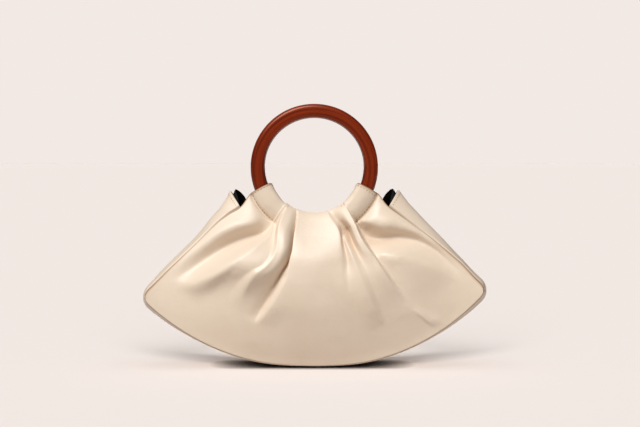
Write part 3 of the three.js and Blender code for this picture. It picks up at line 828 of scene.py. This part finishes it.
# A rounded section spun about the ring's axis, then leaned and put in its place
def ring_mesh(facing):
    bm = bmesh.new()
    bmesh.ops.create_grid(bm, x_segments=1, y_segments=1, size=0.5)
    middle = RING_OUTER_R - RING_WIDTH / 2
    for vert in bm.verts:
        vert.co = Vector((middle + vert.co.x * RING_WIDTH, vert.co.y * RING_DEPTH, 0)) * MM
    for outer, rounding in ((True, RING_OUTER_ROUNDING), (False, RING_INNER_ROUNDING)):
        corners = [v for v in bm.verts if (v.co.x > middle * MM) == outer]
        bmesh.ops.bevel(
            bm,
            geom=corners,
            offset=rounding * MM,
            affect="VERTICES",
            segments=RING_ROUNDING_STEPS,
            profile=0.5,
            material=-1,
        )
    bmesh.ops.delete(bm, geom=bm.faces[:], context="FACES_ONLY")
    bmesh.ops.spin(
        bm,
        geom=bm.verts[:] + bm.edges[:],
        cent=(0, 0, 0),
        axis=(0, 1, 0),
        angle=2 * math.pi,
        steps=RING_STEPS,
        use_merge=True,
    )
    bmesh.ops.remove_doubles(bm, verts=bm.verts, dist=DOUBLES_WITHIN * MM)
    grain = bm.verts.layers.float_vector.new("grain")
    for vert in bm.verts:
        away = math.hypot(vert.co.x, vert.co.z)
        drift = GRAIN_DRIFT * MM / away
        vert[grain] = away + vert.co.z * drift, vert.co.y * facing, vert.co.x * drift
    place = Matrix.Translation(Vector((0, facing * RING_CENTRE_Y, RING_CENTRE_Z)) * MM)
    bmesh.ops.transform(bm, matrix=place @ Matrix.Rotation(-facing * RING_LEAN, 4, "X"), verts=bm.verts)
    bmesh.ops.recalc_face_normals(bm, faces=bm.faces)
    return bm


# A socket that sums can be written on: each operator adds a Math node.
class Value:
    def __init__(self, finish, socket):
        self.finish, self.socket = finish, socket

    def math(self, operation, *values):
        return self.finish.node("ShaderNodeMath", {"operation": operation}, dict(enumerate(values)))

    def __add__(self, other):
        return self.math("ADD", self, other)

    def __radd__(self, other):
        return self.math("ADD", other, self)

    def __mul__(self, other):
        return self.math("MULTIPLY", self, other)

    def __rmul__(self, other):
        return self.math("MULTIPLY", other, self)


# A procedural material in the making
class Finish:
    def __init__(self, name):
        self.material = bpy.data.materials.new(name)
        self.material.use_nodes = True
        self.tree = self.material.node_tree
        self.tree.nodes.clear()

    # Any node: its type, its settings, which come first, and the values or links of its sockets
    def node(self, kind, settings=None, sockets=None, out=0):
        made = self.tree.nodes.new(kind)
        for key, value in (settings or {}).items():
            setattr(made, key, value)
        for key, value in (sockets or {}).items():
            if isinstance(value, Value):
                self.tree.links.new(value.socket, made.inputs[key])
            else:
                made.inputs[key].default_value = value
        return Value(self, made.outputs[out]) if len(made.outputs) else None

    def coordinates(self):
        return self.node("ShaderNodeTexCoord", out="Object")

    # A value or vector kept in the mesh
    def kept(self, name, out="Fac"):
        return self.node("ShaderNodeAttribute", {"attribute_name": name}, out=out)

    def stretched(self, place, x, y, z):
        return self.node("ShaderNodeMapping", {}, {"Vector": place, "Scale": (x, y, z)})

    def noise(self, place, scale, detail=2, roughness=0.5):
        sockets = {"Vector": place, "Scale": scale, "Detail": detail, "Roughness": roughness}
        return self.node("ShaderNodeTexNoise", {}, sockets)

    def spread(self, value, low, high, to_low=0, to_high=1):
        sockets = {"Value": value, 1: low, 2: high, 3: to_low, 4: to_high}
        return self.node("ShaderNodeMapRange", {"clamp": True}, sockets)

    def mix(self, share, a, b):
        return self.node("ShaderNodeMix", {"data_type": "RGBA"}, {0: share, 6: a, 7: b}, out=2)

    def bump(self, height, distance, strength=1, under=None):
        sockets = {"Height": height, "Distance": distance, "Strength": strength}
        if under is not None:
            sockets["Normal"] = under
        return self.node("ShaderNodeBump", {}, sockets)

    def surface(self, **sockets):
        named = {key.replace("_", " "): value for key, value in sockets.items()}
        shader = self.node("ShaderNodeBsdfPrincipled", {}, named)
        self.node("ShaderNodeOutputMaterial", {}, {"Surface": shader})
        return self.material


# A colour as it shows on a screen, in the shader's own linear numbers
def colour(red, green, blue):
    def linear(level):
        level /= 255
        return level / 12.92 if level <= 0.04045 else ((level + 0.055) / 1.055) ** 2.4

    return (linear(red), linear(green), linear(blue), 1)


# Cream leather with a faint cloudiness, fine pores and a slack surface, with shade painted darker in folds
# and seams
def leather_finish():
    pale, warm = colour(226, 207, 185), colour(231, 213, 192)
    fold_shade_colour, seam_shade_colour, speck = colour(203, 176, 150), colour(150, 116, 86), colour(214, 190, 166)
    leather = Finish("cream leather")
    place = leather.coordinates()
    clouds = leather.noise(place, scale=22, detail=3)
    base = leather.mix(leather.spread(clouds, 0.3, 0.7), pale, warm)
    # Painted shade: the colour darkens in folds, and more in seams
    painted_shade = leather.kept("painted_shade")
    base = leather.mix(painted_shade, base, fold_shade_colour)
    base = leather.mix(leather.spread(painted_shade, 1, PAINTED_SEAM_SHADE), base, seam_shade_colour)
    pores = leather.node("ShaderNodeTexVoronoi", {}, {"Vector": place, "Scale": 900, "Randomness": 0.9})
    grain = leather.noise(place, scale=420, detail=4)
    slack = leather.bump(leather.noise(place, scale=55), distance=0.0012, strength=0.35)
    normal = leather.bump(pores * 0.4 + grain, distance=0.0002, strength=0.4, under=slack)
    specks = leather.spread(grain, 0.62, 0.75, to_high=0.12)
    base = leather.mix(specks, base, speck)
    rough = leather.spread(clouds, 0.3, 0.7, to_low=0.4, to_high=0.5)
    return leather.surface(Base_Color=base, Roughness=rough, Normal=normal, Specular_IOR_Level=0.58)


# Black cloth in a plain weave, with threads along and across its own flat sheet
def lining_finish():
    lining = Finish("black lining")
    place = lining.node("ShaderNodeUVMap", {"uv_map": "flat"})
    sockets = {"Vector": place, "Scale": 520, "Distortion": 0.4, "Detail": 1}
    warp = lining.node("ShaderNodeTexWave", {"bands_direction": "X"}, sockets, out="Fac")
    weft = lining.node("ShaderNodeTexWave", {"bands_direction": "Y"}, sockets, out="Fac")
    threads = warp * weft
    slubs = lining.noise(place, scale=180, detail=3)
    shade = lining.mix(threads * slubs, colour(10, 10, 10), colour(34, 33, 32))
    normal = lining.bump(threads, distance=0.0002, strength=0.6)
    rough = lining.spread(slubs, 0.3, 0.7, to_low=0.75, to_high=0.95)
    return lining.surface(Base_Color=shade, Roughness=rough, Normal=normal, Specular_IOR_Level=0.25)


# Dark red-brown wood with streaks that run round the ring, under clear lacquer
def wood_finish():
    dark, red = colour(90, 20, 3), colour(138, 42, 8)
    light_streak, dark_streak = colour(182, 72, 24), colour(60, 12, 3)
    wood = Finish("lacquered wood")
    place = wood.kept("grain", "Vector")
    broad = wood.noise(wood.stretched(place, 1, 1, 0.35), scale=420, detail=3)
    fine = wood.noise(wood.stretched(place, 1, 1, 0.12), scale=1500, detail=4, roughness=0.65)
    tone = wood.mix(wood.spread(broad, 0.35, 0.68), dark, red)
    tone = wood.mix(wood.spread(fine, 0.56, 0.72, to_high=0.75), tone, light_streak)
    tone = wood.mix(wood.spread(fine, 0.44, 0.3, to_high=0.7), tone, dark_streak)
    normal = wood.bump(fine, distance=0.0001, strength=0.3)
    rough = wood.spread(fine, 0.3, 0.7, to_low=0.3, to_high=0.42)
    return wood.surface(
        Base_Color=tone,
        Roughness=rough,
        Normal=normal,
        Specular_IOR_Level=0.5,
        Specular_Tint=(1, 0.5, 0.3, 1),
        Coat_Weight=0.14,
        Coat_Roughness=0.22,
    )


# Waxed tan thread, twisted
def thread_finish():
    thread = Finish("tan thread")
    place = thread.coordinates()
    sockets = {"Vector": place, "Scale": 420}
    twist = thread.node("ShaderNodeTexWave", {"bands_direction": "DIAGONAL"}, sockets)
    tone = thread.mix(twist, colour(142, 108, 76), colour(182, 147, 112))
    normal = thread.bump(twist, distance=0.0002, strength=0.5)
    return thread.surface(Base_Color=tone, Roughness=0.6, Normal=normal)


# The paper's colour, two shades that it varies between, and what it throws back on the bag, as shares of it.
# Close under the bag a contact shadow is painted on it, within a reach in metres.
PAPER = colour(242, 233, 228)
PAPER_SHADES = (0.978, 0.99)
PAPER_BOUNCE = 0.7
CONTACT_SHADOW_REACH = 0.017
CONTACT_SHADOW_TONE = colour(14, 12, 11)
CONTACT_SHADOW_SAMPLES = 16


def shaded(tone, share):
    return tuple(level * share for level in tone)


# Pale paper that throws back only part of its light on the bag, with a contact shadow painted close under it
def floor_finish():
    paper = Finish("pale paper")
    tone = paper.noise(paper.coordinates(), scale=40, detail=3)
    shade = paper.mix(tone, *(shaded(PAPER, share) for share in PAPER_SHADES))
    # Painted contact shadow: the paper's colour darkens towards a dark tone where the bag is close above it
    settings = {"samples": CONTACT_SHADOW_SAMPLES}
    clear = paper.node("ShaderNodeAmbientOcclusion", settings, {"Distance": CONTACT_SHADOW_REACH}, out="AO")
    shade = paper.mix(clear, CONTACT_SHADOW_TONE, shade)
    matt = {"Roughness": 1, "Specular IOR Level": 0}
    lit = paper.node("ShaderNodeBsdfPrincipled", {}, {"Base Color": shade, **matt})
    dim = paper.node("ShaderNodeBsdfDiffuse", {}, {"Color": shaded(PAPER, PAPER_BOUNCE)})
    seen = paper.node("ShaderNodeLightPath", out="Is Camera Ray")
    shown = paper.node("ShaderNodeMixShader", {}, {0: seen, 1: dim, 2: lit})
    paper.node("ShaderNodeOutputMaterial", {}, {"Surface": shown})
    return paper.material


leather = leather_finish()
lining = lining_finish()
wood = wood_finish()
thread = thread_finish()

bag = []


# A finished piece rides on the bag, and most stand for one of its solids
def dress(piece, node=None):
    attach(piece, "root")
    bag.append(piece)
    if node:
        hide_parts(node)
    return piece


# Rings
for facing, node in ((1, "front_ring"), (-1, "back_ring")):
    dress(finished(f"{node}_wood", ring_mesh(facing), wood), node)

# Panels
face, sleeve = panel_stations()
stations = [*face, *(place * SLEEVE_STEP for place in sleeve)]
hem_row = len(face)
front_rows = panel_rows(face, sleeve)
# Pared share of each point of a panel, and the painted shade of its folds and seams
share, painted_shade = pared(stations), painted_shade_at(stations, front_rows)
back_rows = front_rows * np.array([1, -1, 1])
settled = eased(ramp(np.arange(len(back_rows)) - hem_row, *SETTLE_ROWS))
back_rows[:, :, 2] -= BACK_SETTLE * settled[:, None]
for facing, node, rows in ((1, "front_panel", front_rows), (-1, "back_panel", back_rows)):
    bm = sheet_over(rows, (0, -facing, 0), share, painted_shade)
    panel = dress(finished(f"{node}_leather", bm, leather, lining), node)
    thicken(panel, LEATHER, inner_material=1)
    stitches = finished(f"{node}_stitches", panel_stitches(rows, hem_row, facing), thread)
    dress(stitches)

# Gusset
rows = gusset_rows()
# Painted shade along the gusset's seams
painted_shade = np.zeros(rows.shape[:2])
painted_shade[:, PAINTED_SEAM_LINES] = PAINTED_SEAM_SHADE
bm = sheet_over(rows, (0, 0, -1), painted_shade=painted_shade)
gusset = dress(finished("gusset_leather", bm, leather, lining), "gusset")
thicken(gusset, LEATHER, inner_material=1)
normals = normals_of(rows)
normals *= -np.sign(normals[len(rows) // 2, rows.shape[1] // 2, 2])
bm = bmesh.new()
inside = slice(RIM_STITCH_ROW, -RIM_STITCH_ROW)
for row in (RIM_STITCH_ROW, -1 - RIM_STITCH_ROW):
    sew(bm, rows[row, inside], normals[row, inside])
stitches = dress(finished("gusset_stitches", bm, thread))

# Linings
for half, node in ((LEFT, "left_lining"), (RIGHT, "right_lining")):
    rows = lining_rows(half)
    bm = sheet_over(rows, (half.side, 0, 0))
    cloth = dress(finished(f"{node}_fabric", bm, lining), node)
    thicken(cloth, LINING)

# Paper that the bag stands on: half its size, and how far aside its middle lies, in metres, so that the line
# between its two triangles runs far from the bag
FLOOR_HALF = 400
FLOOR_ASIDE = 150
bm = bmesh.new()
aside = Matrix.Translation((FLOOR_ASIDE, 0, 0))
bmesh.ops.create_grid(bm, x_segments=1, y_segments=1, size=FLOOR_HALF, matrix=aside)
floor = finished("paper", bm, floor_finish())

# Camera at the photograph's angle: metres, radians, and millimetres of sensor and lens
CAMERA_PLACE = (0, -1.89, 0.1947)
CAMERA_TURN = (math.radians(88.52), 0, math.radians(-0.167))
CAMERA_SENSOR = 36
CAMERA_LENS = 110.18
camera = bpy.data.objects.new("camera", bpy.data.cameras.new("camera"))
bpy.context.scene.collection.objects.link(camera)
camera.location = CAMERA_PLACE
camera.rotation_euler = CAMERA_TURN
camera.data.sensor_width = CAMERA_SENSOR
camera.data.lens = CAMERA_LENS
bpy.context.scene.camera = camera


# A far soft light: where it comes from, round from the front and up, and how wide it looks, in degrees
def soft_light(name, azimuth, elevation, width, power):
    lamp = bpy.data.lights.new(name, "SUN")
    lamp.angle = math.radians(width)
    lamp.energy = power * math.pi
    made = bpy.data.objects.new(name, lamp)
    bpy.context.scene.collection.objects.link(made)
    turn, lift = math.radians(azimuth), math.radians(elevation)
    level = math.cos(lift)
    place = Vector((math.sin(turn) * level, -math.cos(turn) * level, math.sin(lift)))
    made.rotation_euler = (-place).to_track_quat("-Z", "Y").to_euler()
    return made


# A collection that a light can be told to keep to
def group(name, pieces):
    made = bpy.data.collections.new(name)
    for piece in pieces:
        made.objects.link(piece)
    return made


# Lets a light fall on some pieces alone, and be blocked by some alone
def only_on(light, pieces, blocked_by=None):
    light.light_linking.receiver_collection = group(f"lit by {light.name}", pieces)
    if blocked_by:
        light.light_linking.blocker_collection = group(f"in front of {light.name}", blocked_by)


key = soft_light("key", azimuth=-28, elevation=54, width=30, power=1.04)
overhead = soft_light("overhead", azimuth=0, elevation=85, width=90, power=0.25)
low_front = soft_light("low front", azimuth=-2, elevation=14, width=36, power=2.32)
only_on(key, bag)
only_on(overhead, [floor])
only_on(low_front, [floor], [gusset])

# A plain backdrop of the floor's colour, an even dim light all round, and a darker room for reflections
ROOM_TINT, ROOM_STRENGTH = (1, 0.97, 0.94, 1), 0.2
MIRRORED_TINT, MIRRORED_STRENGTH = (1, 0.95, 0.9, 1), 0.08
BACKDROP_STRENGTH = 1
world = bpy.data.worlds.new("studio")
world.use_nodes = True
nodes, links = world.node_tree.nodes, world.node_tree.links
nodes.remove(nodes["Background"])


def glow(tint, strength):
    made = nodes.new("ShaderNodeBackground")
    made.inputs["Color"].default_value = tint
    made.inputs["Strength"].default_value = strength
    return made.outputs[0]


def either(share, first, second):
    made = nodes.new("ShaderNodeMixShader")
    for socket, source in zip(made.inputs, (share, first, second)):
        links.new(source, socket)
    return made.outputs[0]


room = glow(ROOM_TINT, ROOM_STRENGTH)
mirrored = glow(MIRRORED_TINT, MIRRORED_STRENGTH)
backdrop = glow(PAPER, BACKDROP_STRENGTH)
seen = nodes.new("ShaderNodeLightPath")
unseen = either(seen.outputs["Is Glossy Ray"], room, mirrored)
all_round = either(seen.outputs["Is Camera Ray"], unseen, backdrop)
links.new(all_round, nodes["World Output"].inputs["Surface"])
bpy.context.scene.world = world
bpy.context.scene.view_settings.view_transform = "Standard"
